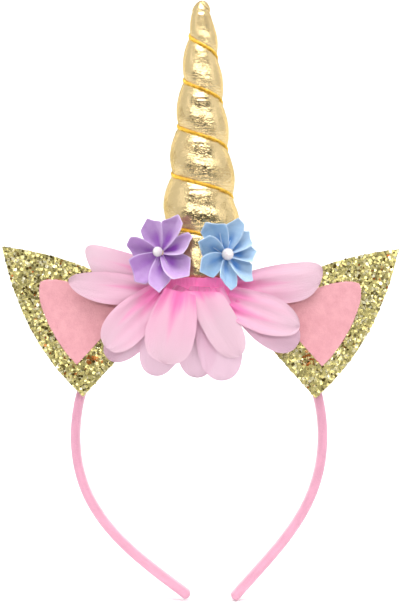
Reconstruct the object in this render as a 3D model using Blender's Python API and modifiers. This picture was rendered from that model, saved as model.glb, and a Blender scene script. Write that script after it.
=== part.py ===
"""Unicorn horn headband, modelled upright as it is worn.

Metres, +Z up. The origin is the middle of the hairband's inner side at the
crown, where the band sits on the head. +X is the viewer's right and the front
faces -Y. Angles round the horn are degrees from its front towards +X.
"""

import bpy
import bmesh
from functools import partial
from math import cos, exp, floor, pi, radians, sin, sqrt
from mathutils import Matrix, Vector

# Clearance between pieces that touch on the real object
GAP = 0.0003

# Hairband: a satin covered plastic hoop
BAND_THICK = 0.0047
BAND_DEPTH = 0.0090
BAND_HALF_WIDTH = 0.0580
BAND_CROWN_RISE = 0.0675
BAND_SECTION_SIDES = 12
BAND_END_ROUND = 0.0012
BAND_STEPS = 11
QUARTER_ARC = 0.5523
# How far below the widest point each arm ends, how far out, and its handles
BAND_ARMS = {
    "left": {"side": -1, "drop": 0.0753, "end_x": -0.0040, "down": 0.0379, "back": 0.0326, "angle": 36.6},
    "right": {"side": 1, "drop": 0.0763, "end_x": 0.0163, "down": 0.0349, "back": 0.0304, "angle": 50.0},
}

# Ears: leaf shapes of glitter sheet on the band's front edge
EAR_LENGTH = 0.0753
EAR_BASE = 0.0523
EAR_THICK = 0.0018
EAR_RISE = 42.1
EAR_SEAT = 41.0
EAR_INSET = 0.0096
EAR_STEPS = 8
# Outline handles: shares of the length and of the half base
EAR_HANDLES = {"tip_back": 0.32, "tip_out": 0.66, "base_along": 0.37, "base_in": 0.60}

# Ear linings: smaller felt leaves on the ears
FELT_LENGTH = 0.0384
FELT_BASE = 0.0338
FELT_THICK = 0.0012
FELT_MARGIN = 0.0122
FELT_HANDLES = {"tip_back": 0.05, "tip_out": 0.46, "base_along": 0.37, "base_in": 0.60}

# Horn: stuffed cloth bound by a spiral cord
HORN_LENGTH = 0.1346
HORN_BASE_RADIUS = 0.0217
HORN_TIP_RADIUS = 0.0042
HORN_TIP_ROUND = 0.0055
HORN_TIP_FLAT = 0.243
HORN_HEM = 0.0090
HORN_HEM_TUCK = 0.0012
# Groove under the cord: a fixed depth plus a share of the radius, up to a limit
GROOVE_DEPTH = 0.0008
GROOVE_SHARE = 0.085
GROOVE_LIMIT = 0.30
GROOVE_POWER = 2.0
PITCH_BASE = 0.0246
PITCH_TIP = 0.0199
HORN_SIDES = 20
HORN_ROWS = 8
CORD_RADIUS = 0.0008
CORD_EASE = 0.00008
CORD_START = 0.20
CORD_TIP_MARGIN = 0.0105

# Gathered chiffon: a ruffled strip round the horn's foot that holds petals
GATHER_WALL = 0.0010
GATHER_HEIGHT = 0.0080
GATHER_SPREAD = 84.0
GATHER_WAVE = 0.0003
GATHER_FOLDS = 14
PETAL_LENGTH = 0.0400
PETAL_WIDTH = 0.0200
PETAL_WALL = 0.0010
PETAL_ROOT_SHARE = 0.42
PETAL_WIDEST = 0.60
PETAL_TAPER = 0.30
PETAL_ROUND = 0.16
PETAL_LAYER_STEP = 0.0020
PETAL_TIP_CLEAR = 0.0016
PETAL_CUP = 0.0004
# The skirt on which the petals lie: how far it stands off the strip, how wide
# it stays full as a share of the strip's radius, how far it drops, and how
# sharply it falls at its edge and its foot
SKIRT_EASE = 0.0005
SKIRT_SPREAD = 1.30
SKIRT_DROP = 0.0520
SKIRT_EDGE = 1.5
SKIRT_FALL = 1.4
# Name, root across as a share of the strip's radius and up as a share of its
# height, heading from straight down, length and width shares, layer
PETALS = (
    ("petal_left_top", -0.70, 0.10, -106, 0.97, 0.85, 0),
    ("petal_left_upper", -0.72, -0.35, -93, 1.11, 0.70, 1),
    ("petal_left_front", -0.88, -0.40, -46, 0.87, 0.88, 2),
    ("petal_left_back", -0.60, -0.70, -47, 1.02, 0.80, 0),
    ("petal_low_front", -0.42, -0.30, -13, 0.84, 1.10, 3),
    ("petal_low_left", -0.30, -0.10, -22, 1.08, 0.95, 1),
    ("petal_low_middle", 0.00, 0.00, -2, 1.05, 0.90, 0),
    ("petal_low_right", 0.25, -0.10, 8, 1.07, 1.00, 1),
    ("petal_middle_front", 0.05, -0.30, 29, 0.85, 0.80, 2),
    ("petal_right_front", 0.55, -0.78, 71, 0.90, 0.88, 3),
    ("petal_right_back", 0.76, -0.80, 54, 0.88, 0.90, 1),
    ("petal_right_top", 0.72, 0.00, 92, 1.00, 0.90, 0),
)

# Ribbon flowers glued to the horn over the gathers
FLOWER_SEAT_CLEAR = 0.0006
FLOWER_PITCH = 9.0
RIBBON_WALL = 0.0010
RIBBON_ROLL = 26.0
RIBBON_LIFT = 0.0045
RIBBON_CUP = 0.0010
RIBBON_ROOT_SHARE = 0.11
RIBBON_WIDEST = 0.65
RIBBON_TAPER = 0.28
RIBBON_ROUND = 0.14
RIBBON_CLIMB = 1.3
PEARL_HEIGHT = 0.0020
# Facing angle, sideways shift and height of the centre, then each petal's
# angle from straight up, turning to the right, and its share of the length
FLOWERS = (
    {"name": "lilac", "facing": -15, "shift": -0.0132, "height": 0.0205, "length": 0.0200,
     "width": 0.0125, "pearl": 0.00235, "colour": (0.58, 0.32, 0.74),
     "petals": ((28, 0.96), (76, 0.88), (127, 1.0), (174, 1.0), (222, 0.90), (272, 0.78), (338, 0.84))},
    {"name": "blue", "facing": 18, "shift": 0.0056, "height": 0.0195, "length": 0.0180,
     "width": 0.0105, "pearl": 0.00285, "colour": (0.38, 0.62, 0.86),
     "petals": ((8, 0.94), (46, 0.85), (87, 0.80), (137, 0.94), (186, 0.96), (240, 0.98), (290, 0.9), (329, 1.0))},
)

PART_NAME = "unicorn_horn_headband"


def clear_scene():
    """Remove what the scene holds before the part is made."""
    for item in list(bpy.data.objects):
        bpy.data.objects.remove(item, do_unlink=True)


def collection(name):
    """A new collection linked to the scene."""
    made = bpy.data.collections.new(name)
    bpy.context.scene.collection.children.link(made)
    return made


def material(name, colour, roughness, metallic=0.0):
    """A Principled material of one plain finish."""
    made = bpy.data.materials.new(name)
    made.use_nodes = True
    shader = made.node_tree.nodes["Principled BSDF"]
    shader.inputs["Base Color"].default_value = (*colour, 1.0)
    shader.inputs["Roughness"].default_value = roughness
    shader.inputs["Metallic"].default_value = metallic
    made.diffuse_color = (*colour, 1.0)
    return made


def add_object(name, data, finish, home):
    """Link an object for a mesh or curve, with its material."""
    made = bpy.data.objects.new(name, data)
    made.data.materials.append(finish)
    home.objects.link(made)
    return made


def add_mesh(name, shape, finish, home):
    """Turn a bmesh into a smooth shaded object."""
    data = bpy.data.meshes.new(name)
    shape.to_mesh(data)
    shape.free()
    data.shade_smooth()
    data.set_sharp_from_angle(angle=radians(40))
    return add_object(name, data, finish, home)


def front_matrix(right, up, place):
    """Axes for a flat piece: local X along right, local Y along up."""
    facing = right.cross(up)
    return Matrix((
        (right.x, up.x, facing.x, place.x),
        (right.y, up.y, facing.y, place.y),
        (right.z, up.z, facing.z, place.z),
        (0.0, 0.0, 0.0, 1.0),
    ))


def bezier_point(spline, index, place, before, after):
    """Set one Bezier point and its two handles."""
    knot = spline.bezier_points[index]
    knot.handle_left_type = "FREE"
    knot.handle_right_type = "FREE"
    knot.co = place
    knot.handle_left = before
    knot.handle_right = after


def add_sheet(name, point, columns, rows, wall, finish, home):
    """A thin wall on the surface point(across, along), across from -1 to 1."""
    shape = bmesh.new()
    bmesh.ops.create_grid(shape, x_segments=columns, y_segments=rows, size=1.0)
    for corner in shape.verts:
        corner.co = point(corner.co.x, (corner.co.y + 1.0) / 2.0)
    made = add_mesh(name, shape, finish, home)
    thick = made.modifiers.new("wall", "SOLIDIFY")
    thick.thickness = wall
    thick.offset = 0.0
    thick.use_even_offset = True
    return made


def band_section(guides):
    """The hoop's rounded oblong section, a guide for the band's curve."""
    data = bpy.data.curves.new("band_section", "CURVE")
    data.dimensions = "2D"
    data.fill_mode = "NONE"
    outline = data.splines.new("POLY")
    outline.points.add(BAND_SECTION_SIDES - 1)
    for index, knot in enumerate(outline.points):
        turn = -2 * pi * (index + 0.5) / BAND_SECTION_SIDES
        squash = (abs(cos(turn)) ** 3 + abs(sin(turn)) ** 3) ** (-1 / 3)
        across = BAND_DEPTH / 2 * squash * cos(turn)
        thick = BAND_THICK / 2 * squash * sin(turn)
        knot.co = (across, thick, 0.0, 1.0)
    outline.use_cyclic_u = True
    made = bpy.data.objects.new("band_section", data)
    made.hide_render = True
    made.display_type = "WIRE"
    guides.objects.link(made)
    return made


def band_widest():
    """Height of the hoop's widest point."""
    return BAND_THICK / 2 - BAND_CROWN_RISE


def band_point(seat):
    """A point on the hoop's centre line over the crown, by its angle."""
    turn = radians(seat)
    return Vector((BAND_HALF_WIDTH * cos(turn), 0.0, band_widest() + BAND_CROWN_RISE * sin(turn)))


def make_band(finish, home, guides):
    """The hoop: an elliptic crown and two arms that bend in below the ears."""
    data = bpy.data.curves.new("hairband", "CURVE")
    data.dimensions = "3D"
    data.resolution_u = BAND_STEPS
    data.bevel_mode = "OBJECT"
    data.bevel_object = band_section(guides)
    data.use_fill_caps = True
    spline = data.splines.new("BEZIER")
    spline.bezier_points.add(4)
    wide = band_widest()
    rise = BAND_CROWN_RISE * QUARTER_ARC
    for end, beside, arm in ((0, 1, BAND_ARMS["left"]), (4, 3, BAND_ARMS["right"])):
        side = arm["side"]
        tip = Vector((arm["end_x"], 0.0, wide - arm["drop"]))
        reach = Vector((side * cos(radians(arm["angle"])), 0.0, sin(radians(arm["angle"]))))
        inward = tip + reach * arm["back"]
        outward = tip - reach * arm["back"]
        out = Vector((side * BAND_HALF_WIDTH, 0.0, wide))
        below = out - Vector((0.0, 0.0, arm["down"]))
        above = out + Vector((0.0, 0.0, rise))
        if side < 0:
            bezier_point(spline, end, tip, outward, inward)
            bezier_point(spline, beside, out, below, above)
        else:
            bezier_point(spline, end, tip, inward, outward)
            bezier_point(spline, beside, out, above, below)
    crown = Vector((0.0, 0.0, BAND_THICK / 2))
    flat = Vector((BAND_HALF_WIDTH * QUARTER_ARC, 0.0, 0.0))
    bezier_point(spline, 2, crown, crown - flat, crown + flat)
    made = add_object("hairband", data, finish, home)
    weld = made.modifiers.new("weld", "WELD")
    weld.merge_threshold = 0.00005
    soft = made.modifiers.new("soft_ends", "BEVEL")
    soft.width = BAND_END_ROUND
    soft.segments = 2
    soft.limit_method = "ANGLE"
    soft.angle_limit = radians(55)


def leaf_curve(name, length, base, thick, handles):
    """A leaf with its tip on +X and its straight base across the origin."""
    data = bpy.data.curves.new(name, "CURVE")
    data.dimensions = "2D"
    data.fill_mode = "BOTH"
    data.extrude = thick / 2
    data.resolution_u = EAR_STEPS
    outline = data.splines.new("BEZIER")
    outline.bezier_points.add(2)
    half = base / 2
    lean = length * handles["tip_back"]
    spread = half * handles["tip_out"]
    tip = Vector((length, 0.0, 0.0))
    bezier_point(outline, 0, tip, tip + Vector((-lean, -spread, 0.0)), tip + Vector((-lean, spread, 0.0)))
    for index, side in ((1, 1), (2, -1)):
        corner = Vector((0.0, side * half, 0.0))
        curve = corner + Vector((length * handles["base_along"], 0.0, 0.0))
        inner = corner * handles["base_in"]
        if side > 0:
            bezier_point(outline, index, corner, curve, inner)
        else:
            bezier_point(outline, index, corner, inner, curve)
    outline.use_cyclic_u = True
    return data


def ear_matrix(side, inset, depth):
    """Axes of a leaf on the band at one side: base inset, front at depth."""
    lean = radians(EAR_RISE)
    along = Vector((side * cos(lean), 0.0, sin(lean)))
    across = Vector((0.0, -1.0, 0.0)).cross(along)
    seat = band_point(EAR_SEAT)
    place = Vector((side * seat.x, depth, seat.z)) - along * inset
    return front_matrix(along, across, place)


def ear_depth():
    """Depth of the ear sheet's middle, in front of the band."""
    return -(BAND_DEPTH / 2 + GAP + EAR_THICK / 2)


def felt_depth():
    """Depth of the felt's middle, in front of the ear."""
    return ear_depth() - EAR_THICK / 2 - GAP - FELT_THICK / 2


def make_ears(glitter, felt, home):
    """Both ears and their linings."""
    for word, side in (("left", -1), ("right", 1)):
        sheet = leaf_curve("ear_" + word, EAR_LENGTH, EAR_BASE, EAR_THICK, EAR_HANDLES)
        ear = add_object("ear_" + word, sheet, glitter, home)
        ear.matrix_world = ear_matrix(side, EAR_INSET, ear_depth())
        patch = leaf_curve("ear_felt_" + word, FELT_LENGTH, FELT_BASE, FELT_THICK, FELT_HANDLES)
        lining = add_object("ear_felt_" + word, patch, felt, home)
        lining.matrix_world = ear_matrix(side, EAR_INSET - FELT_MARGIN, felt_depth())


def horn_foot():
    """Height of the horn's flat foot, just above the band."""
    return BAND_THICK + GAP


def spiral_height(turns):
    """Height above the foot that the cord reaches after some turns."""
    shrink = (PITCH_TIP - PITCH_BASE) / HORN_LENGTH
    return PITCH_BASE * (exp(shrink * turns) - 1.0) / shrink


def horn_radius(rise, phase):
    """Horn radius at a height above its foot, phase 0 to 1 between turns."""
    share = min(max(rise / HORN_LENGTH, 0.0), 1.0)
    radius = HORN_BASE_RADIUS + (HORN_TIP_RADIUS - HORN_BASE_RADIUS) * share
    if rise < HORN_HEM:
        radius -= HORN_HEM_TUCK * (1.0 - max(rise, 0.0) / HORN_HEM) ** 2
    into_tip = min((rise - HORN_LENGTH + HORN_TIP_ROUND) / HORN_TIP_ROUND, 1.0)
    if into_tip > 0.0:
        radius *= max(sqrt(1.0 - into_tip ** 2), HORN_TIP_FLAT)
    groove = min(GROOVE_DEPTH + GROOVE_SHARE * radius, GROOVE_LIMIT * radius)
    return radius - groove * abs(2.0 * phase - 1.0) ** GROOVE_POWER


def round_point(angle, radius, height):
    """A point at an angle in radians round the horn's axis."""
    return Vector((radius * sin(angle), -radius * cos(angle), height))


def horn_row(row):
    """Turns at a row of the horn's grid, closer together near the cord."""
    whole = floor(row / HORN_ROWS)
    part = (row - whole * HORN_ROWS) / HORN_ROWS
    return whole, 0.5 - 0.5 * cos(pi * part)


def make_horn(finish, home):
    """The stuffed horn: a tapered screw surface cut flat at foot and tip."""
    shape = bmesh.new()
    turns = 1
    while spiral_height(turns) < HORN_LENGTH:
        turns += 1
    first = -2 * HORN_ROWS
    last = (turns + 1) * HORN_ROWS
    grid = {}
    for row in range(first, last + 1):
        whole, phase = horn_row(row)
        for side in range(HORN_SIDES):
            rise = spiral_height(whole + phase + side / HORN_SIDES)
            place = round_point(-2 * pi * side / HORN_SIDES, horn_radius(rise, phase), horn_foot() + rise)
            grid[row, side] = shape.verts.new(place)
    for side in range(HORN_SIDES):
        beside = (side + 1) % HORN_SIDES
        step = HORN_ROWS if beside == 0 else 0
        for row in range(first, last - step):
            onward = row + step
            shape.faces.new((grid[row, side], grid[onward, beside], grid[onward + 1, beside], grid[row + 1, side]))
    for height, facing in ((horn_foot(), -1.0), (horn_foot() + HORN_LENGTH, 1.0)):
        whole = shape.verts[:] + shape.edges[:] + shape.faces[:]
        cut = bmesh.ops.bisect_plane(
            shape, geom=whole, plane_co=(0.0, 0.0, height), plane_no=(0.0, 0.0, facing), clear_outer=True)
        rim = [item for item in cut["geom_cut"] if isinstance(item, bmesh.types.BMEdge)]
        bmesh.ops.contextual_create(shape, geom=rim)
    loose = [corner for corner in shape.verts if not corner.link_faces]
    bmesh.ops.delete(shape, geom=loose, context="VERTS")
    bmesh.ops.recalc_face_normals(shape, faces=shape.faces[:])
    add_mesh("horn", shape, finish, home)


def make_cord(finish, home):
    """The cord wound down the horn's groove, a left-handed spiral."""
    places = []
    step = floor(CORD_START * HORN_SIDES)
    while spiral_height(step / HORN_SIDES) < HORN_LENGTH - CORD_TIP_MARGIN:
        rise = spiral_height(step / HORN_SIDES)
        radius = horn_radius(rise, 0.0) + GAP + CORD_RADIUS + CORD_EASE
        places.append(round_point(-2 * pi * step / HORN_SIDES, radius, horn_foot() + rise))
        step += 1
    data = bpy.data.curves.new("horn_cord", "CURVE")
    data.dimensions = "3D"
    data.bevel_depth = CORD_RADIUS
    data.bevel_resolution = 2
    data.use_fill_caps = True
    wire = data.splines.new("POLY")
    wire.points.add(len(places) - 1)
    for knot, place in zip(wire.points, places):
        knot.co = (*place, 1.0)
    add_object("horn_cord", data, finish, home)


def gather_radius():
    """Radius of the gathered strip's middle, just outside the horn's hem."""
    return horn_radius(HORN_HEM, 0.5) + GAP + GATHER_WAVE + GATHER_WALL / 2


def make_gathers(finish, home):
    """The ruffled strip round the front half of the horn's foot."""
    def surface(across, along):
        angle = radians(GATHER_SPREAD) * across
        radius = gather_radius() + GATHER_WAVE * cos(2 * pi * GATHER_FOLDS * across)
        return round_point(angle, radius, horn_foot() + GATHER_HEIGHT * (along - 0.5))
    add_sheet("petal_gathers", surface, GATHER_FOLDS * 4, 2, GATHER_WALL, finish, home)


def skirt_depth(across, height, layer):
    """How far in front of the band a petal's layer lies at a front view point."""
    near = gather_radius() + GATHER_WAVE + GATHER_WALL / 2 + GAP + PETAL_WALL / 2 + SKIRT_EASE
    far = FELT_THICK / 2 - felt_depth() + PETAL_TIP_CLEAR + PETAL_WALL / 2
    full = max(0.0, 1.0 - (across / (gather_radius() * SKIRT_SPREAD)) ** 2) ** SKIRT_EDGE
    drop = min(max(0.0, horn_foot() - height) / SKIRT_DROP, 1.0)
    return far + (near - far) * full * cos(pi / 2 * drop ** SKIRT_FALL) + layer * PETAL_LAYER_STEP


def leaf_width(along, root, widest, taper):
    """Half width share along a petal: root share, widest place, loss at the tip."""
    swell = root + (1.0 - root) * sin(pi / 2 * min(along / widest, 1.0))
    return swell * (1.0 - taper * max(0.0, (along - widest) / (1.0 - widest)) ** 2)


def make_petal(row, finish, home):
    """One chiffon petal, laid on its layer of the skirt."""
    name, start, rise, heading, length, width, layer = row
    course = Vector((sin(radians(heading)), -cos(radians(heading))))
    beside = Vector((-course.y, course.x))
    root = Vector((start * gather_radius(), horn_foot() + rise * GATHER_HEIGHT))
    half = PETAL_WIDTH * width / 2

    def surface(across, along):
        run = along * (1.0 - PETAL_ROUND * along * across ** 2)
        out = across * half * leaf_width(run, PETAL_ROOT_SHARE, PETAL_WIDEST, PETAL_TAPER)
        flat = root + course * (PETAL_LENGTH * length * run) + beside * out
        depth = skirt_depth(flat.x, flat.y, layer) + PETAL_CUP * across ** 2 * run
        return Vector((flat.x, -depth, flat.y))
    add_sheet(name, surface, 4, 6, PETAL_WALL, finish, home)


def make_flower(plan, pearl_finish, home):
    """A flower of rolled ribbon petals round a pearl, tangent to the horn."""
    facing = radians(plan["facing"])
    pitch = radians(FLOWER_PITCH)
    normal = Vector((sin(facing) * cos(pitch), -cos(facing) * cos(pitch), sin(pitch)))
    right = Vector((cos(facing), sin(facing), 0.0))
    up = normal.cross(right)
    seat = horn_radius(plan["height"] - horn_foot(), 0.5) + GAP + RIBBON_WALL / 2 + FLOWER_SEAT_CLEAR
    place = round_point(facing, seat, plan["height"]) + right * plan["shift"]
    hub = bpy.data.objects.new("flower_" + plan["name"], None)
    hub.matrix_world = front_matrix(right, up, place)
    home.objects.link(hub)
    ribbon = material("ribbon_" + plan["name"], plan["colour"], 0.42)
    inner = plan["pearl"] + GAP
    roll = sin(radians(RIBBON_ROLL))

    def surface(across, along, reach):
        run = along * (1.0 - RIBBON_ROUND * along * across ** 2)
        out = plan["width"] / 2 * leaf_width(run, RIBBON_ROOT_SHARE, RIBBON_WIDEST, RIBBON_TAPER) * across
        climb = (reach * run / (plan["length"] - inner)) ** RIBBON_CLIMB
        rise = RIBBON_LIFT * climb + roll * out + RIBBON_CUP * across ** 2 * sin(pi * run)
        return Vector((out, inner + reach * run, rise))
    for number, (angle, share) in enumerate(plan["petals"], 1):
        name = "ribbon_" + plan["name"] + "_" + str(number)
        reach = plan["length"] * share - inner
        petal = add_sheet(name, partial(surface, reach=reach), 3, 5, RIBBON_WALL, ribbon, home)
        petal.parent = hub
        petal.rotation_euler.z = -radians(angle)
    bead = bmesh.new()
    bmesh.ops.create_uvsphere(bead, u_segments=12, v_segments=8, radius=plan["pearl"])
    pearl = add_mesh("pearl_" + plan["name"], bead, pearl_finish, home)
    pearl.parent = hub
    pearl.location.z = PEARL_HEIGHT


def make_part():
    """Build every piece of the headband."""
    clear_scene()
    home = collection(PART_NAME)
    guides = collection(PART_NAME + "_guides")
    guides.hide_render = True
    make_band(material("satin_pink", (0.86, 0.40, 0.58), 0.45), home, guides)
    make_ears(
        material("gold_glitter", (0.72, 0.53, 0.16), 0.35, 0.8),
        material("pink_felt", (0.93, 0.42, 0.48), 0.95), home)
    make_horn(material("gold_cloth", (0.80, 0.63, 0.30), 0.30, 0.9), home)
    make_cord(material("gold_cord", (0.80, 0.50, 0.05), 0.40, 0.7), home)
    chiffon = material("pink_chiffon", (0.94, 0.50, 0.72), 0.70)
    make_gathers(chiffon, home)
    for row in PETALS:
        make_petal(row, chiffon, home)
    pearl_finish = material("pearl", (0.92, 0.88, 0.86), 0.20)
    for plan in FLOWERS:
        make_flower(plan, pearl_finish, home)
    bpy.context.view_layer.update()


make_part()
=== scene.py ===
import random
from math import cos, exp, floor, pi, radians, sin, sqrt

import bmesh
import bpy
from bpy.props import FloatProperty, FloatVectorProperty, IntProperty, PointerProperty
from mathutils import Matrix, Vector, noise
from mathutils.geometry import interpolate_bezier


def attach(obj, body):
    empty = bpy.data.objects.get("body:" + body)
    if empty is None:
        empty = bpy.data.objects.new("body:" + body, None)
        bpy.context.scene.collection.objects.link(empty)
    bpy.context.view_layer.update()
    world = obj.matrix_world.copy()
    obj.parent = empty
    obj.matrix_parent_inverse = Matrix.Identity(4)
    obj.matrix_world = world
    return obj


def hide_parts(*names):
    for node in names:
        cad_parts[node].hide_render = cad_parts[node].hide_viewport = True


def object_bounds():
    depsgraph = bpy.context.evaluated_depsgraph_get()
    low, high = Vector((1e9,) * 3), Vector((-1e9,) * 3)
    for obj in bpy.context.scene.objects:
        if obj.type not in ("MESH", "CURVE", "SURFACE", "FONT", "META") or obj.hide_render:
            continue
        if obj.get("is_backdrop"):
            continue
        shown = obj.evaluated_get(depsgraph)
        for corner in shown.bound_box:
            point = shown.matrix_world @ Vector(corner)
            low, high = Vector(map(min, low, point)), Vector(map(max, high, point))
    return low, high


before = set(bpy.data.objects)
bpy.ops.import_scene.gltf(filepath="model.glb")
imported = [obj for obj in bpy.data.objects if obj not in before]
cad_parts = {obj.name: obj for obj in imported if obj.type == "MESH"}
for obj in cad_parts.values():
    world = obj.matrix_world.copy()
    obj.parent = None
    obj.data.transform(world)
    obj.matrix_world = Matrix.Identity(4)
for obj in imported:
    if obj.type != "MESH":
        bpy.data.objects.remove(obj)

bl_info = {
    "name": "Unicorn Horn Headband",
    "version": (1, 0, 0),
    "blender": (4, 5, 0),
    "location": "3D View > Sidebar > Headband",
    "description": "Dresses the unicorn horn headband in gold cloth, glitter, chiffon and ribbon",
    "category": "Add Mesh",
}

# Sizes that the solids share with this file, in metres
GAP = 0.0003
BAND_THICK = 0.0047
BAND_DEPTH = 0.0090
BAND_HALF_WIDTH = 0.0580
BAND_CROWN_RISE = 0.0675
QUARTER_ARC = 0.5523
BAND_ARMS = {
    "left": {"side": -1, "drop": 0.0753, "end_x": -0.0040, "down": 0.0379, "back": 0.0326, "angle": 36.6},
    "right": {"side": 1, "drop": 0.0763, "end_x": 0.0163, "down": 0.0349, "back": 0.0304, "angle": 50.0},
}
EAR_LENGTH = 0.0753
EAR_BASE = 0.0523
EAR_THICK = 0.0018
EAR_RISE = 42.1
EAR_SEAT = 41.0
EAR_INSET = 0.0096
EAR_HANDLES = {"tip_back": 0.32, "tip_out": 0.66, "base_along": 0.37}
FELT_LENGTH = 0.0384
FELT_BASE = 0.0338
FELT_THICK = 0.0012
FELT_MARGIN = 0.0122
FELT_HANDLES = {"tip_back": 0.05, "tip_out": 0.46, "base_along": 0.37}
HORN_LENGTH = 0.1346
HORN_BASE_RADIUS = 0.0217
HORN_TIP_RADIUS = 0.0042
HORN_TIP_ROUND = 0.0055
HORN_HEM = 0.0090
HORN_HEM_TUCK = 0.0012
GROOVE_DEPTH = 0.0008
GROOVE_SHARE = 0.085
GROOVE_LIMIT = 0.30
GROOVE_POWER = 2.0
PITCH_BASE = 0.0246
PITCH_TIP = 0.0199
CORD_RADIUS = 0.0008
CORD_START = 0.20
CORD_TIP_MARGIN = 0.0105
GATHER_WALL = 0.0010
GATHER_HEIGHT = 0.0080
GATHER_SPREAD = 84.0
GATHER_WAVE = 0.0003
PETAL_LENGTH = 0.0400
PETAL_WIDTH = 0.0200
PETAL_WALL = 0.0010
PETAL_WIDEST = 0.60
PETAL_LAYER_STEP = 0.0020
PETAL_TIP_CLEAR = 0.0016
SKIRT_EASE = 0.0005
SKIRT_SPREAD = 1.30
SKIRT_DROP = 0.0520
SKIRT_EDGE = 1.5
SKIRT_FALL = 1.4
# Name, root across (share of the strip's radius) and up (share of its height),
# heading in degrees from straight down, length and width shares, layer
PETALS = (
    ("petal_left_top", -0.70, 0.10, -106, 0.97, 0.85, 0),
    ("petal_left_upper", -0.72, -0.35, -93, 1.11, 0.70, 1),
    ("petal_left_front", -0.88, -0.40, -46, 0.87, 0.88, 2),
    ("petal_left_back", -0.60, -0.70, -47, 1.02, 0.80, 0),
    ("petal_low_front", -0.42, -0.30, -13, 0.84, 1.10, 3),
    ("petal_low_left", -0.30, -0.10, -22, 1.08, 0.95, 1),
    ("petal_low_middle", 0.00, 0.00, -2, 1.05, 0.90, 0),
    ("petal_low_right", 0.25, -0.10, 8, 1.07, 1.00, 1),
    ("petal_middle_front", 0.05, -0.30, 29, 0.85, 0.80, 2),
    ("petal_right_front", 0.55, -0.78, 71, 0.90, 0.88, 3),
    ("petal_right_back", 0.76, -0.80, 54, 0.88, 0.90, 1),
    ("petal_right_top", 0.72, 0.00, 92, 1.00, 0.90, 0),
)
# How blunt a petal's tip is, how far its course bends aside and how far its root
# is tucked in, both in metres, how much one side of its tip leads, how its root
# slants, how wide its root is, and how much of it the deep root colour reaches
PETAL_LOOKS = {
    "petal_left_top": (6.0, 0.0000, 0.0, -0.16, 0.0, 0.60, 0.30),
    "petal_left_upper": (2.4, -0.0010, 0.0, -0.09, 0.0, 0.50, 0.27),
    "petal_left_front": (2.8, 0.0012, 0.0, 0.00, 0.0, 0.60, 0.29),
    "petal_left_back": (2.8, 0.0000, 0.0, 0.00, 0.0, 0.50, 0.20),
    "petal_low_front": (2.8, 0.0004, 0.0, 0.00, 0.0, 0.62, 0.26),
    "petal_middle_front": (2.2, 0.0006, 0.0, 0.00, 0.6, 0.90, 0.10),
    "petal_right_front": (1.45, 0.0000, 0.0052, -0.05, 0.0, 0.75, 0.28),
    "petal_right_top": (4.6, 0.0024, 0.0, 0.08, 0.0, 0.55, 0.25),
}
PLAIN_PETAL = (2.6, 0.0, 0.0, 0.0, 0.0, 0.50, 0.18)
FLOWER_SEAT_CLEAR = 0.0006
FLOWER_PITCH = 9.0
RIBBON_WALL = 0.0010
RIBBON_INNER = 0.0013
RIBBON_ROLL = 26.0
RIBBON_LIFT = 0.0045
RIBBON_WIDEST = 0.65
RIBBON_CLIMB = 1.3
PEARL_HEIGHT = 0.0020
FLOWERS = (
    {"name": "lilac", "facing": -15, "shift": -0.0132, "height": 0.0205, "length": 0.0200,
     "width": 0.0125, "pearl": 0.00235, "bead": -0.0009,
     "petals": ((28, 0.96), (76, 0.88), (127, 1.0), (174, 1.0), (222, 0.90), (272, 0.78), (338, 0.84))},
    {"name": "blue", "facing": 18, "shift": 0.0056, "height": 0.0195, "length": 0.0180,
     "width": 0.0105, "pearl": 0.00285, "bead": 0.0,
     "petals": ((8, 0.94), (46, 0.85), (87, 0.80), (137, 0.94), (186, 0.96), (240, 0.98), (290, 0.9),
                (329, 1.0))},
)

# How finely the pieces are cut: columns and rows, or lengths in metres
BAND_COLUMNS = 32
BAND_STEP = 0.0011
HORN_COLUMNS = 144
HORN_ROWS_EACH = 52
CORD_COLUMNS = 8
CORD_STEP = 0.00034
FELT_GRID = (40, 40)
GATHER_GRID = (220, 14)
PETAL_GRID = (28, 44)
RIBBON_GRID = (14, 20)

# The cord's strands: how many, and shares of its radius
STRANDS = 3
STRAND_OFFSET = 0.62
STRAND_RADIUS = 0.66

# Cloth that the folds take up: flat width and length, as shares of the outline's
GATHER_EASE = (1.6, 1.3)

# The photograph's view: distance, height, tilt and the frame's height there
VIEW_DISTANCE = 0.750
VIEW_HEIGHT = -0.0019
VIEW_ROLL = -0.40
VIEW_SPAN = 0.2834
VIEW_SENSOR = 24.0

# The softboxes: name, place, width, height and power
SOFTBOXES = (
    ("key_softbox", (-0.90, -0.62, 0.70), 0.50, 0.70, 3.6),
    ("fill_softbox", (1.00, -0.60, 0.40), 0.40, 0.70, 2.4),
    ("top_softbox", (0.05, -0.15, 1.15), 0.90, 0.70, 2.8),
    ("back_left_softbox", (-0.80, 0.75, 0.50), 0.50, 0.70, 2.6),
    ("back_right_softbox", (0.80, 0.80, 0.40), 0.50, 0.70, 2.6),
)
# The floor's front end, its flat length, the bend's radius and its whole run
FLOOR_FRONT = 0.7
FLOOR_FLAT = 2.4
FLOOR_BEND = 0.9
FLOOR_RUN = 4.6
# What the horn mirrors: light in front, of the boxes there and of the side strips,
# and how much the dark lens takes away
FRONT_LIGHT = 0.16
BOX_LIGHT = 8.0
STRIP_LIGHT = 0.22
LENS_SHADE = 0.15


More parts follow.
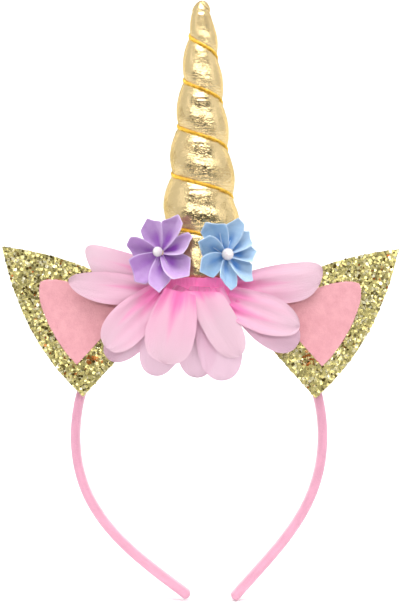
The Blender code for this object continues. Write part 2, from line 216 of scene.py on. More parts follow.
class Wire:
    """A node's output, which takes part in sums and adds Math nodes for them."""

    def __init__(self, nodes, socket):
        self.nodes = nodes
        self.socket = socket

    def sum(self, operation, first, second=0.0):
        """A Math node on two values."""
        return self.nodes.node("ShaderNodeMath", {"operation": operation}, {0: first, 1: second})

    def __add__(self, other):
        return self.sum("ADD", self, other)

    def __radd__(self, other):
        return self.sum("ADD", other, self)

    def __sub__(self, other):
        return self.sum("SUBTRACT", self, other)

    def __rsub__(self, other):
        return self.sum("SUBTRACT", other, self)

    def __mul__(self, other):
        return self.sum("MULTIPLY", self, other)

    def __rmul__(self, other):
        return self.sum("MULTIPLY", other, self)

    def __truediv__(self, other):
        return self.sum("DIVIDE", self, other)

    def __pow__(self, other):
        return self.sum("POWER", self, other)

    def absolute(self):
        """The value without its sign."""
        return self.sum("ABSOLUTE", self)

    def wave(self):
        """The sine of the value."""
        return self.sum("SINE", self)

    def fraction(self):
        """What is left of the value without its whole number."""
        return self.sum("FRACT", self)

    def ramp(self, low, high):
        """0 below low, 1 above high, smooth between; low may be the larger."""
        ends = {"From Min": low, "From Max": high, "To Min": 0.0, "To Max": 1.0}
        if low > high:
            ends = {"From Min": high, "From Max": low, "To Min": 1.0, "To Max": 0.0}
        settings = {"interpolation_type": "SMOOTHSTEP"}
        return self.nodes.node("ShaderNodeMapRange", settings, {"Value": self, **ends})


class Nodes:
    """A node tree while its nodes are made."""

    def __init__(self, tree):
        self.tree = tree

    def feed(self, socket, value):
        """Link a wire to a socket, or set its value."""
        if isinstance(value, Wire):
            self.tree.links.new(value.socket, socket)
        else:
            socket.default_value = value

    def node(self, kind, settings=None, inputs=None, output=0):
        """Any node: its settings first, then its sockets."""
        made = self.tree.nodes.new(kind)
        for key, value in (settings or {}).items():
            setattr(made, key, value)
        for key, value in (inputs or {}).items():
            self.feed(made.inputs[key], value)
        return Wire(self, made.outputs[output])

    def split(self, vector):
        """The three parts of a vector."""
        made = self.node("ShaderNodeSeparateXYZ", inputs={0: vector}).socket.node
        return [Wire(self, part) for part in made.outputs]


class Paint(Nodes):
    """One material while its nodes are made."""

    def __init__(self, name, fixed):
        self.material = bpy.data.materials.new(name)
        self.material.use_nodes = True
        super().__init__(self.material.node_tree)
        self.shader = self.tree.nodes["Principled BSDF"]
        self.set(fixed)

    def set(self, values):
        """Give the shader's sockets plain values or links."""
        for key, value in values.items():
            self.feed(self.shader.inputs[key], value)

    def place(self):
        """Object coordinates in metres."""
        return self.node("ShaderNodeTexCoord", output="Object")

    def cloth(self):
        """The piece's own UV map, split into across and along."""
        return self.split(self.node("ShaderNodeUVMap", {"uv_map": "cloth"}))[:2]

    def join(self, first, second):
        """A vector of two values."""
        return self.node("ShaderNodeCombineXYZ", inputs={0: first, 1: second})

    def tone(self):
        """The number that each flake or petal carries."""
        return self.node("ShaderNodeAttribute", {"attribute_name": "tone"}, output="Fac")

    def noise(self, vector, scale, detail=2.0, rough=0.5):
        """Soft noise around a half."""
        sizes = {"Vector": vector, "Scale": scale, "Detail": detail, "Roughness": rough}
        return self.node("ShaderNodeTexNoise", inputs=sizes)

    def mix(self, factor, first, second):
        """A colour between two colours."""
        ends = {0: factor}
        for socket, colour in ((6, first), (7, second)):
            ends[socket] = colour if isinstance(colour, Wire) else (*colour, 1.0)
        return self.node("ShaderNodeMix", {"data_type": "RGBA"}, ends, output=2)

    def stops(self, value, stops):
        """A colour from a ramp of pairs of place and colour."""
        made = self.node("ShaderNodeValToRGB", inputs={0: value})
        ramp = made.socket.node.color_ramp
        while len(ramp.elements) < len(stops):
            ramp.elements.new(1.0)
        for stop, (place, colour) in zip(ramp.elements, stops):
            stop.position = place
            stop.color = (*colour, 1.0)
        return made

    def bump(self, height, depth, strength=1.0):
        """A normal from a height of 0 to 1, depth metres deep."""
        sizes = {"Height": height, "Distance": depth, "Strength": strength}
        return self.node("ShaderNodeBump", inputs=sizes)


def tinted(colour, scale, lift=0.0):
    """A colour made deeper or paler."""
    return [min(1.0, part * scale + lift) for part in colour]


def tint(name, words, colour):
    """A colour that the user may change."""
    return FloatVectorProperty(
        name=name, description=words, default=colour, subtype="COLOR", size=3, min=0.0, max=1.0)


def length(name, words, metres):
    """A length that the user may change."""
    return FloatProperty(name=name, description=words, default=metres, unit="LENGTH", min=0.0, precision=5)


def share(name, words, value):
    """A share from 0 to 1 that the user may change."""
    return FloatProperty(name=name, description=words, default=value, subtype="FACTOR", min=0.0, max=1.0)


def strength(name, words, value):
    """A brightness that the user may change."""
    return FloatProperty(name=name, description=words, default=value, min=0.0)


class HornSettings(bpy.types.PropertyGroup):
    """Sizes and colours of the horn and its cord."""
    gold: tint("Gold cloth", "Colour of the foil cloth", (0.60, 0.458, 0.225))
    pleat_depth: length("Pleat depth", "Depth of the gathers beside the cord", 0.00060)
    pleat_width: length("Pleat width", "Distance between gathers", 0.0030)
    dent_depth: length("Dent depth", "Depth of the soft dents in the stuffing", 0.00045)
    cord_gold: tint("Gold cord", "Colour of the twisted cord", (0.90, 0.47, 0.025))
    strand_twist: length("Strand twist", "Length of one turn of the cord's strands", 0.0030)
    cord_lift: length("Cord lift", "How far the cord's middle stands off the groove", 0.0)


class EarSettings(bpy.types.PropertyGroup):
    """Sizes and colours of the ears."""
    flake_radius: length("Flake radius", "Middle radius of the glitter flakes", 0.00070)
    flake_count: IntProperty(
        name="Flakes", description="Glitter flakes tried on each ear", default=6000, min=0)
    flake_tilt: FloatProperty(
        name="Flake tilt", description="Largest tilt of a flake", default=radians(20),
        subtype="ANGLE", min=0.0)
    shadow: tint("Dark flakes", "Colour of the flakes in shade", (0.075, 0.050, 0.008))
    gold: tint("Gold flakes", "Colour of most flakes", (0.71, 0.615, 0.228))
    # painted reflection: the orange flakes stand for the pink felt mirrored in the glitter
    felt_reflection: tint("Felt reflection flakes", "Colour of the rare warm flakes", (0.42, 0.13, 0.025))
    glint: tint("Pale flakes", "Colour of the brightest flakes", (1.0, 0.94, 0.68))
    felt: tint("Felt", "Colour of the felt linings", (0.64, 0.285, 0.320))


class ChiffonSettings(bpy.types.PropertyGroup):
    """Sizes and colours of the petals."""
    tip: tint("Petal tips", "Colour of the single layer of chiffon", (0.718, 0.480, 0.572))
    # painted shade: the petals that hang behind others get a shaded copy of the tips' colour
    shaded: tint("Back petals", "Colour of the petals that hang behind others", (0.72, 0.465, 0.585))
    root: tint("Petal roots", "Colour where the chiffon is gathered", (0.82, 0.18, 0.44))
    cover: share("Cover", "How much the chiffon hides what lies behind it", 0.95)
    fold_depth: length("Fold depth", "Depth of the folds at the roots", 0.00085)


class RibbonSettings(bpy.types.PropertyGroup):
    """Sizes and colours of the ribbon flowers."""
    lilac: tint("Lilac ribbon", "Colour of the lilac petals", (0.45, 0.235, 0.57))
    # The hollows' colours are painted shade inside the petals.
    lilac_deep: tint("Lilac hollows", "Colour inside the lilac petals", (0.28, 0.05, 0.48))
    blue: tint("Blue ribbon", "Colour of the blue petals", (0.27, 0.46, 0.68))
    blue_deep: tint("Blue hollows", "Colour inside the blue petals", (0.04, 0.24, 0.68))
    cup: length("Cup", "How far the petals' sides stand up", 0.0032)
    wall: length("Ribbon", "Thickness of the folded ribbon", 0.0005)
    root_share: share("Root width", "Width of a petal at the pearl, of its full width", 0.24)


class BandSettings(bpy.types.PropertyGroup):
    """Colours of the hairband."""
    satin: tint("Satin", "Colour of the wrapped satin", (0.56, 0.255, 0.350))
    wrap: length("Wrap", "Distance between the turns of the wrapping", 0.0110)


class StudioSettings(bpy.types.PropertyGroup):
    """The floor and the lights."""
    floor: tint("Floor", "Colour of the floor and the backdrop", (0.86, 0.86, 0.86))
    glow: strength("Surroundings", "Brightness of the surroundings", 1.0)
    lift: strength("Backdrop glow", "Light of the backdrop itself", 0.22)
    power: strength("Softboxes", "Share of the softboxes' power", 0.22)


def fit(piece, slot, *nodes):
    """Hang a piece on the frame and hide the solids it stands for; the slot is not used."""
    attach(piece, "root")
    if nodes:
        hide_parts(*nodes)


def finish_mesh(name, shape, finish):
    """Turn a bmesh into a smooth piece of the scene."""
    data = bpy.data.meshes.new(name)
    shape.to_mesh(data)
    shape.free()
    data.shade_smooth()
    data.materials.append(finish)
    made = bpy.data.objects.new(name, data)
    bpy.context.scene.collection.objects.link(made)
    return made


def cloth_grid(columns, rows, point):
    """A bmesh grid on the surface point(across, along), both 0 to 1, with UVs."""
    shape = bmesh.new()
    where = shape.loops.layers.uv.new("cloth")
    bmesh.ops.create_grid(shape, x_segments=columns, y_segments=rows, size=0.5)
    for face in shape.faces:
        for corner in face.loops:
            corner[where].uv = (corner.vert.co.x + 0.5, corner.vert.co.y + 0.5)
    for corner in shape.verts:
        corner.co = point(corner.co.x + 0.5, corner.co.y + 0.5)
    return shape


def stretch_map(shape, span):
    """Turn a grid's second UV from a share into metres."""
    where = shape.loops.layers.uv["cloth"]
    for face in shape.faces:
        for corner in face.loops:
            corner[where].uv.y *= span


def close_ends(shape):
    """Fill a shape's open ends and turn its faces outwards."""
    rims = [edge for edge in shape.edges if edge.is_boundary]
    bmesh.ops.holes_fill(shape, edges=rims, sides=0)
    bmesh.ops.recalc_face_normals(shape, faces=shape.faces[:])


def weld(shape, distance):
    """Join a grid's seams and points that meet."""
    bmesh.ops.remove_doubles(shape, verts=shape.verts[:], dist=distance)


def set_tone(shape, value):
    """Give every point of a shape the same tone."""
    layer = shape.verts.layers.float.new("tone")
    for corner in shape.verts:
        corner[layer] = value


def sheet_area(shape):
    """Area of a single sheet, before it has a wall."""
    return sum(face.calc_area() for face in shape.faces)


def front_matrix(right, up, place):
    """Axes for a flat piece: local X along right, local Y along up."""
    facing = right.cross(up)
    return Matrix((
        (right.x, up.x, facing.x, place.x),
        (right.y, up.y, facing.y, place.y),
        (right.z, up.z, facing.z, place.z),
        (0.0, 0.0, 0.0, 1.0),
    ))


def round_point(angle, radius, height):
    """A point at an angle in radians round the horn, from its front."""
    return Vector((radius * sin(angle), -radius * cos(angle), height))


def smooth(value, low, high):
    """0 below low, 1 above high, smooth between."""
    part = min(max((value - low) / (high - low), 0.0), 1.0)
    return part * part * (3.0 - 2.0 * part)


def band_widest():
    """Height of the hoop's widest point."""
    return BAND_THICK / 2 - BAND_CROWN_RISE


def band_route(steps):
    """Points of the hoop's centre line, from the left arm's end to the right's."""
    wide = band_widest()
    rise = BAND_CROWN_RISE * QUARTER_ARC
    crown = Vector((0.0, 0.0, BAND_THICK / 2))
    flat = Vector((BAND_HALF_WIDTH * QUARTER_ARC, 0.0, 0.0))
    halves = []
    for arm in (BAND_ARMS["left"], BAND_ARMS["right"]):
        side = arm["side"]
        tip = Vector((arm["end_x"], 0.0, wide - arm["drop"]))
        reach = Vector((side * cos(radians(arm["angle"])), 0.0, sin(radians(arm["angle"]))))
        out = Vector((side * BAND_HALF_WIDTH, 0.0, wide))
        below = out - Vector((0.0, 0.0, arm["down"]))
        above = out + Vector((0.0, 0.0, rise))
        lower = interpolate_bezier(tip, tip + reach * arm["back"], below, out, steps)
        upper = interpolate_bezier(out, above, crown + flat * side, crown, steps)
        halves.append(lower + upper[1:])
    left, right = halves
    return left + right[::-1][1:]


def band_point(seat):
    """A point on the hoop's centre line over the crown, by its angle."""
    turn = radians(seat)
    return Vector((BAND_HALF_WIDTH * cos(turn), 0.0, band_widest() + BAND_CROWN_RISE * sin(turn)))


def even_route(route, step):
    """A route cut into steps of about one length: points and distances."""
    reach = [0.0]
    for before, after in zip(route, route[1:]):
        reach.append(reach[-1] + (after - before).length)
    count = round(reach[-1] / step)
    places = []
    knot = 0
    for number in range(count + 1):
        goal = reach[-1] * number / count
        while knot < len(route) - 2 and reach[knot + 1] < goal:
            knot += 1
        part = (goal - reach[knot]) / (reach[knot + 1] - reach[knot])
        places.append((route[knot].lerp(route[knot + 1], part), goal))
    return places


def leaf_half(span, base, handles):
    """Half width of a leaf at a distance from its base, as a function."""
    half = base / 2
    corner = Vector((0.0, half))
    tip = Vector((span, 0.0))
    curve = interpolate_bezier(
        corner, corner + Vector((span * handles["base_along"], 0.0)),
        tip + Vector((-span * handles["tip_back"], half * handles["tip_out"])), tip, 48)

    def width(along):
        for before, after in zip(curve, curve[1:]):
            if along <= after.x:
                part = (along - before.x) / max(after.x - before.x, 1e-9)
                return before.y + (after.y - before.y) * part
        return 0.0
    return width


def ear_matrix(side, inset, depth):
    """Axes of a leaf on the band at one side: base inset, front at depth."""
    lean = radians(EAR_RISE)
    along = Vector((side * cos(lean), 0.0, sin(lean)))
    across = Vector((0.0, -1.0, 0.0)).cross(along)
    seat = band_point(EAR_SEAT)
    place = Vector((side * seat.x, depth, seat.z)) - along * inset
    return front_matrix(along, across, place)


def ear_depth():
    """Depth of the ear sheet's middle, in front of the band."""
    return -(BAND_DEPTH / 2 + GAP + EAR_THICK / 2)


def felt_depth():
    """Depth of the felt's middle, in front of the ear."""
    return ear_depth() - EAR_THICK / 2 - GAP - FELT_THICK / 2


def horn_foot():
    """Height of the horn's flat foot, just above the band."""
    return BAND_THICK + GAP


def spiral_height(turns):
    """Height above the foot that the cord reaches after some turns."""
    shrink = (PITCH_TIP - PITCH_BASE) / HORN_LENGTH
    return PITCH_BASE * (exp(shrink * turns) - 1.0) / shrink


def horn_cone(rise):
    """The horn's radius without its groove."""
    part = min(max(rise / HORN_LENGTH, 0.0), 1.0)
    radius = HORN_BASE_RADIUS + (HORN_TIP_RADIUS - HORN_BASE_RADIUS) * part
    if rise < HORN_HEM:
        radius -= HORN_HEM_TUCK * (1.0 - max(rise, 0.0) / HORN_HEM) ** 2
    into_tip = min((rise - HORN_LENGTH + HORN_TIP_ROUND) / HORN_TIP_ROUND, 1.0)
    if into_tip > 0.0:
        radius *= sqrt(1.0 - into_tip ** 2)
    return radius


def horn_radius(rise, phase):
    """Horn radius at a height above its foot, phase 0 to 1 between turns."""
    cone = horn_cone(rise)
    groove = min(GROOVE_DEPTH + GROOVE_SHARE * cone, GROOVE_LIMIT * cone)
    return cone - groove * abs(2.0 * phase - 1.0) ** GROOVE_POWER


def plump(rise, phase):
    """How much the stuffing swells the cloth beyond the solid, most between turns."""
    share = smooth(rise, HORN_HEM, 0.026) * smooth(HORN_LENGTH - rise, 0.006, 0.022)
    return (0.0005 + 0.0006 * (1.0 - (2.0 * phase - 1.0) ** 2)) * share


def gather_radius():
    """Radius of the gathered strip's middle, just outside the horn's hem."""
    return horn_radius(HORN_HEM, 0.5) + GAP + GATHER_WAVE + GATHER_WALL / 2


def skirt_depth(across, height, layer):
    """How far in front of the band a petal's layer lies at a front view point."""
    near = gather_radius() + GATHER_WAVE + GATHER_WALL / 2 + GAP + PETAL_WALL / 2 + SKIRT_EASE
    far = FELT_THICK / 2 - felt_depth() + PETAL_TIP_CLEAR + PETAL_WALL / 2
    full = max(0.0, 1.0 - (across / (gather_radius() * SKIRT_SPREAD)) ** 2) ** SKIRT_EDGE
    drop = min(max(0.0, horn_foot() - height) / SKIRT_DROP, 1.0)
    return far + (near - far) * full * cos(pi / 2 * drop ** SKIRT_FALL) + layer * PETAL_LAYER_STEP


def satin_finish(settings):
    """Pink satin wound round the hoop: fine ribs, slight laps and soft creases."""
    paint = Paint("pink_satin", {"Sheen Weight": 0.35, "Sheen Roughness": 0.4, "Specular IOR Level": 0.45})
    around, along = paint.cloth()
    lap = (along / settings.wrap + around).fraction()
    step = lap.ramp(0.05, 0.0)
    crease = paint.noise(paint.join(around * 5.0, along * 90.0), 1.0, 3.0)
    fine = paint.noise(paint.join(around * 30.0, along * 1500.0), 1.0, 2.0)
    ribs = (along * 5200.0).wave()
    shade = (crease * 0.7 + fine * 0.4 - step * 0.15).ramp(0.20, 0.90)
    paint.set({
        "Base Color": paint.mix(shade, tinted(settings.satin, 0.90), tinted(settings.satin, 1.08, 0.03)),
        "Roughness": 0.34 + fine * 0.12,
        "Normal": paint.bump(fine * 0.25 + ribs * 0.05 + crease * 0.30 - step * 0.30, 0.00020),
    })
    return paint.material


def gold_cloth_finish(settings):
    """Foil cloth: smooth metal with specks and fine gathers, painted dark reflection in scattered specks and
    patches, and painted shade right under the cord.
    """
    paint = Paint("gold_cloth", {"Specular Tint": (0.62, 0.54, 0.36, 1.0)})
    where = paint.place()
    turn, phase = paint.cloth()
    speck = paint.noise(where, 1700.0, 3.0, 0.7)
    crush = paint.noise(where, 620.0, 3.0, 0.6)
    buckle = paint.noise(where, 130.0, 2.0, 0.5)
    patch = paint.noise(where, 95.0, 2.0, 0.5)
    low_side = phase.ramp(0.34, 0.0) + phase.ramp(0.80, 1.0) * 0.6
    gathers = paint.noise(paint.join(turn * 78.0, phase * 3.2), 1.0, 2.0, 0.5)
    rough_patch = patch.ramp(0.44, 0.62)
    # painted dark reflection: the gold is darker in scattered specks and patches
    worn = (speck * 0.7 + rough_patch * 0.30).ramp(0.52, 0.74)
    # painted shade in the groove right under the cord
    cord_groove_shade = phase.ramp(0.945, 0.985)
    pale = tinted(settings.gold, 1.06, 0.03)
    deep = [settings.gold[0] * 0.55, settings.gold[1] * 0.48, settings.gold[2] * 0.34]
    paint.set({
        "Base Color": paint.mix((worn * 0.50 + cord_groove_shade * 0.95).ramp(0.0, 1.0), pale, deep),
        "Metallic": 0.94,
        "Roughness": 0.06 + rough_patch * 0.06 + speck * 0.05,
        "Normal": paint.bump(
            speck * (0.12 + rough_patch * 0.16) + crush * 0.65 + buckle * 0.5 + gathers * low_side * 1.1,
            0.00040, 0.9),
    })
    return paint.material


def gold_cord_finish(settings):
    """Twisted metallic thread with fine filaments."""
    paint = Paint("gold_cord", {"Metallic": 0.75, "Specular IOR Level": 0.6})
    around, along = paint.cloth()
    thread = (around * 2 * pi * 5.0 + along * 3000.0).wave()
    patch = paint.noise(paint.place(), 700.0, 3.0)
    pale = tinted(settings.cord_gold, 1.25, 0.06)
    deep = tinted(settings.cord_gold, 0.55)
    paint.set({
        "Base Color": paint.mix((patch + thread * 0.14).ramp(0.26, 0.66), deep, pale),
        "Roughness": 0.30 + patch * 0.12,
        "Normal": paint.bump(thread * 0.3 + patch, 0.00010),
    })
    return paint.material


def glitter_board_finish(settings):
    """The ear sheet: glued glitter in front, woven backing cloth behind."""
    paint = Paint("gold_glitter", {"Specular IOR Level": 0.6})
    where = paint.place()
    across, depth, up = paint.split(where)
    back = depth.ramp(ear_depth() + EAR_THICK * 0.30, ear_depth() + EAR_THICK * 0.42)
    cells = paint.node("ShaderNodeTexVoronoi", inputs={"Vector": where, "Scale": 900.0}, output="Color")
    tone = paint.split(cells)[0]
    weave = ((across + up) * 5200.0).wave() * ((across - up) * 5200.0).wave()
    glitter = paint.stops(tone, (
        (0.0, settings.shadow), (0.30, tinted(settings.gold, 0.6)),
        (0.62, settings.gold), (1.0, settings.glint)))
    patch = paint.noise(where, 260.0, 3.0)
    canvas = paint.mix((weave * 0.45 + patch).ramp(0.1, 0.95), (0.30, 0.23, 0.12), (0.62, 0.53, 0.36))
    paint.set({
        "Base Color": paint.mix(back, glitter, canvas),
        "Metallic": (1.0 - back) * 0.8,
        "Roughness": 0.32 + back * 0.5,
        "Normal": paint.bump(weave * back * 0.5 + tone * (1.0 - back), 0.0003),
    })
    return paint.material


def flake_finish(settings):
    """Loose hexagonal flakes, each with its own tone of gold."""
    paint = Paint("gold_flakes", {"Metallic": 0.82, "Specular IOR Level": 0.8})
    tone = paint.tone()
    grain = paint.noise(paint.place(), 2600.0, 2.0)
    gold = settings.gold
    paint.set({
        "Base Color": paint.stops(tone, (
            (0.0, settings.shadow), (0.11, tinted(settings.shadow, 1.6)),
            # painted reflection of the pink felt
            (0.12, settings.felt_reflection), (0.135, settings.felt_reflection),
            (0.145, tinted(gold, 0.30)), (0.34, tinted(gold, 0.72)), (0.62, gold),
            (0.86, tinted(gold, 1.35)), (1.0, settings.glint))),
        "Roughness": 0.20 + grain * 0.18,
    })
    return paint.material


def felt_finish(settings):
    """Pressed felt: matted fibres, small clumps and thin worn places."""
    paint = Paint("pink_felt", {"Sheen Weight": 0.5, "Sheen Roughness": 0.6, "Specular IOR Level": 0.15})
    where = paint.place()
    fibre = paint.noise(where, 2400.0, 4.0, 0.7)
    clump = paint.noise(where, 330.0, 4.0, 0.6)
    warp = paint.noise(where, 60.0, 2.0)
    shade = (fibre * 0.45 + clump * 0.55 + warp * 0.35).ramp(0.38, 0.95)
    pale = tinted(settings.felt, 1.06, 0.04)
    deep = [settings.felt[0] * 0.92, settings.felt[1] * 0.87, settings.felt[2] * 0.87]
    paint.set({
        "Base Color": paint.mix(shade, deep, pale),
        "Roughness": 0.86 + fibre * 0.12,
        "Normal": paint.bump(fibre * 0.7 + clump, 0.00024),
    })
    return paint.material


def chiffon_finish(name, settings, tip, cover, depth=0.0, glow=0.0):
    """Sheer chiffon, deep at the gathers as far as depth and each petal's own tone, with a painted glow in
    the root colour as strong as glow.
    """
    paint = Paint(name, {"Sheen Weight": 0.25, "Sheen Roughness": 0.5, "Specular IOR Level": 0.2})
    across, along = paint.cloth()
    tone = paint.tone()
    folds = paint.noise(paint.join(across * 4.0 + tone * 70.0, along * 0.6), 1.0, 2.0)
    fibre = paint.noise(paint.join(across * 40.0, along * 5.0), 1.0, 2.0)
    deepest = tone + depth
    reach = (along - (folds - 0.5) * deepest * 1.8) / deepest
    fold = 0.5 + (tone * 37.0).wave() * 0.16
    pleat = ((0.52 - along) * 0.42 - (across - fold).absolute()).ramp(-0.05, 0.12) * tone.ramp(0.15, 0.22)
    gathered = reach.ramp(1.0, -0.4) + pleat * 0.5
    blush = reach.ramp(3.2, -0.3)
    weave = (across * 330.0).wave() * (along * 660.0).wave()
    edge = (across - 0.5).absolute().ramp(0.475, 0.5) + along.ramp(0.955, 0.99)
    middle = [a * 0.60 + b * 0.40 for a, b in zip(tip, settings.root)]
    body = paint.mix(blush * 0.8, tip, middle)
    paint.set({
        "Base Color": paint.mix((gathered * (0.70 + fibre * 0.5)).ramp(0.0, 1.0), body, settings.root),
        "Roughness": 0.62 + fibre * 0.2,
        "Alpha": cover + blush * 0.05 + edge * 0.04 + weave * 0.03,
        "Normal": paint.bump(weave * 0.12 + fibre * 0.4 + folds, 0.00030),
        "Emission Color": (*settings.root, 1.0),
        "Emission Strength": glow,
    })
    return paint.material


def ribbon_finish(name, colour, deep):
    """Satin ribbon: fine ribs, painted shade in the hollows, at the root and on one half of each petal, and
    painted highlights on the rolled edges.
    """
    paint = Paint(name, {"Sheen Weight": 0.3, "Sheen Roughness": 0.35, "Specular IOR Level": 0.5})
    across, along = paint.cloth()
    tone = paint.tone()
    cloud = paint.noise(paint.place(), 300.0, 3.0)
    middle = (across - 0.5).absolute()
    # painted shade: deeper colour in each petal's hollow, at its root by the pearl and on one half
    hollow = middle.ramp(0.40, 0.05) * (along - 0.30).absolute().ramp(0.42, 0.0)
    root = along.ramp(0.24, 0.0)
    # painted highlight along the rolled edges and the tip
    rim = middle.ramp(0.40, 0.5) + along.ramp(0.90, 1.0)
    ribs = (across * 240.0).wave()
    # painted light: the petal's tone makes it lighter or darker
    lit = paint.mix(
        (tone * 0.6 + cloud * 0.5).ramp(0.20, 0.95), tinted(colour, 0.90), tinted(colour, 0.80, 0.20))
    half = (across - 0.5).ramp(-0.06, 0.10) * 0.30
    depth = hollow * (0.20 + tone * 0.85) + root * 0.5 + half * (1.0 - tone)
    cupped = paint.mix(depth.ramp(0.0, 1.1), lit, deep)
    paint.set({
        "Base Color": paint.mix(rim.ramp(0.3, 1.2) * 0.34, cupped, tinted(colour, 0.3, 0.66)),
        "Roughness": 0.30 + cloud * 0.14,
        "Normal": paint.bump(ribs * 0.10 + cloud, 0.00018),
    })
    return paint.material


def pearl_finish():
    """Pearl lacquer: pale body with a faint rosy cloud of painted pink reflection under a clear coat."""
    paint = Paint("pearl", {"Coat Roughness": 0.06, "Specular IOR Level": 0.6})
    cloud = paint.noise(paint.place(), 520.0, 3.0)
    paint.set({
        # painted reflection: the rosy cloud stands for the pink around the pearl
        "Base Color": paint.mix(cloud.ramp(0.35, 0.70), (0.72, 0.70, 0.68), (0.66, 0.56, 0.60)),
        "Roughness": 0.20 + cloud * 0.12,
        "Coat Weight": 0.8 + cloud * 0.2,
        "Normal": paint.bump(cloud, 0.00006),
    })
    return paint.material


def floor_finish(settings):
    """Matte studio paper, dark and unlit well in front, where the horn mirrors it."""
    paint = Paint("studio_paper", {"Specular IOR Level": 0.1})
    mottle = paint.noise(paint.place(), 6.0, 3.0)
    shade = paint.split(paint.place())[1].ramp(-0.09, -0.30)
    paint.set({
        "Base Color": paint.mix(shade * 0.98 + mottle * 0.02, settings.floor, tinted(settings.floor, 0.28)),
        "Roughness": 0.92 + mottle * 0.06,
        "Emission Color": paint.mix(shade, (1.0, 1.0, 1.0), (0.0, 0.0, 0.0)),
        "Emission Strength": settings.lift,
    })
    return paint.material


class HEADBAND_OT_band(bpy.types.Operator):
    """Wrap the hoop in pink satin."""
    bl_idname = "headband.make_band"
    bl_label = "Satin hoop"

    def execute(self, context):
        settings = context.scene.headband_band
        places = even_route(band_route(64), BAND_STEP)
        last = places[-1][1]
        rows = len(places) - 1

        def surface(across, along):
            here, gone = places[round(along * rows)]
            before = places[max(round(along * rows) - 1, 0)][0]
            after = places[min(round(along * rows) + 1, rows)][0]
            course = (after - before).normalized()
            out = Vector((-course.z, 0.0, course.x))
            turn = 2 * pi * across
            squash = (abs(cos(turn)) ** 3 + abs(sin(turn)) ** 3) ** (-1 / 3)
            lap = (gone / settings.wrap + across) % 1.0
            puff = 1.0 + 0.012 * exp(-lap / 0.08)
            puff += 0.006 * noise.noise(here * 120.0 + Vector((across, 0, 0)))
            rest = min(gone, last - gone)
            close = sqrt(1.0 - max(0.0, 1.0 - rest / 0.0016) ** 2 * 0.90)
            depth = BAND_DEPTH / 2 * squash * cos(turn) * puff * close
            thick = BAND_THICK / 2 * squash * sin(turn) * puff * close
            return here + out * thick + Vector((0.0, depth, 0.0))
        shape = cloth_grid(BAND_COLUMNS, rows, surface)
        stretch_map(shape, last)
        weld(shape, 0.000002)
        close_ends(shape)
        fit(finish_mesh("satin_band", shape, satin_finish(settings)), "pink_satin", "hairband")
        return {"FINISHED"}


class HEADBAND_OT_horn(bpy.types.Operator):
    """Stuff the horn: gold cloth that bulges and creases between the cord's turns."""
    bl_idname = "headband.make_horn"
    bl_label = "Stuffed horn"

    def execute(self, context):
        settings = context.scene.headband_horn
        turns = 1
        while spiral_height(turns) < HORN_LENGTH:
            turns += 1
        first = -2
        whole_rows = (turns + 1 - first) * HORN_ROWS_EACH
        reach = [0.0]
        steps_each = 24
        for step in range(turns * steps_each + 2 * steps_each):
            rise = spiral_height(step / steps_each)
            reach.append(reach[-1] + 2 * pi * horn_cone(min(rise, HORN_LENGTH * 0.98)) / steps_each)

        def cord_length(turn):
            spot = min(max(turn, 0.0) * steps_each, len(reach) - 2.0)
            knot = floor(spot)
            return reach[knot] + (reach[knot + 1] - reach[knot]) * (spot - knot)

        def surface(across, along):
            row = along * whole_rows
            whole = floor(row / HORN_ROWS_EACH + 1e-6)
            part = max(row / HORN_ROWS_EACH - whole, 0.0)
            phase = 0.5 - 0.5 * cos(pi * part)
            turn = first + whole + phase + across - 0.5
            rise = spiral_height(turn)
            radius = horn_radius(rise, phase) + plump(rise, phase)
            angle = -2 * pi * (across - 0.5)
            if 0.0 < rise < HORN_LENGTH:
                pitch = PITCH_BASE + (PITCH_TIP - PITCH_BASE) * rise / HORN_LENGTH
                below, above = phase * pitch, (1.0 - phase) * pitch
                big = horn_cone(rise) / HORN_BASE_RADIUS
                run = cord_length(turn) / (settings.pleat_width * (0.55 + 0.45 * big))
                pull = exp(-below / 0.0034) * 0.6 + exp(-above / 0.0040)
                fan = run + (below - above) * 40.0 * noise.noise(Vector((turn * 2.0, 3.1, 0.0)))
                pleat = abs(noise.noise(Vector((fan * 0.62, 0.5, phase * 0.7)))) * 2.0 - 0.5
                spot = round_point(angle, radius, rise)
                dent = noise.noise(spot * 85.0 + Vector((7.0, 1.0, 4.0)))
                crease = max(0.0, 1.0 - abs(noise.noise(spot * 105.0 + Vector((1.7, 9.2, 3.3)))) / 0.20)
                full = sin(pi * min(max(phase, 0.0), 1.0))
                radius += settings.pleat_depth * big ** 0.5 * pleat * pull
                radius += settings.dent_depth * big * full * (dent * 0.8 - crease * 0.28)
                seam = abs(rise - HORN_LENGTH + 0.0058) / 0.0006
                radius -= 0.00042 * exp(-seam ** 2) * smooth(HORN_LENGTH - rise, 0.0, 0.004)
            return round_point(angle, max(radius, 0.0), horn_foot() + min(rise, HORN_LENGTH))
        shape = cloth_grid(HORN_COLUMNS, whole_rows, surface)
        where = shape.loops.layers.uv["cloth"]
        for face in shape.faces:
            lowest = min(corner[where].uv.y for corner in face.loops)
            whole = floor(lowest * whole_rows / HORN_ROWS_EACH + 1e-4)
            for corner in face.loops:
                across, along = corner[where].uv
                part = along * whole_rows / HORN_ROWS_EACH - whole
                phase = 0.5 - 0.5 * cos(pi * part)
                corner[where].uv = (first + whole + phase + across, phase)
        weld(shape, 0.00001)
        everything = shape.verts[:] + shape.edges[:] + shape.faces[:]
        bmesh.ops.bisect_plane(
            shape, geom=everything, plane_co=(0.0, 0.0, horn_foot()), plane_no=(0.0, 0.0, -1.0),
            clear_outer=True)
        bmesh.ops.dissolve_degenerate(shape, edges=shape.edges[:], dist=0.000005)
        close_ends(shape)
        piece = finish_mesh("stuffed_horn", shape, gold_cloth_finish(settings))
        fit(piece, "gold_cloth", "horn")
        return {"FINISHED"}


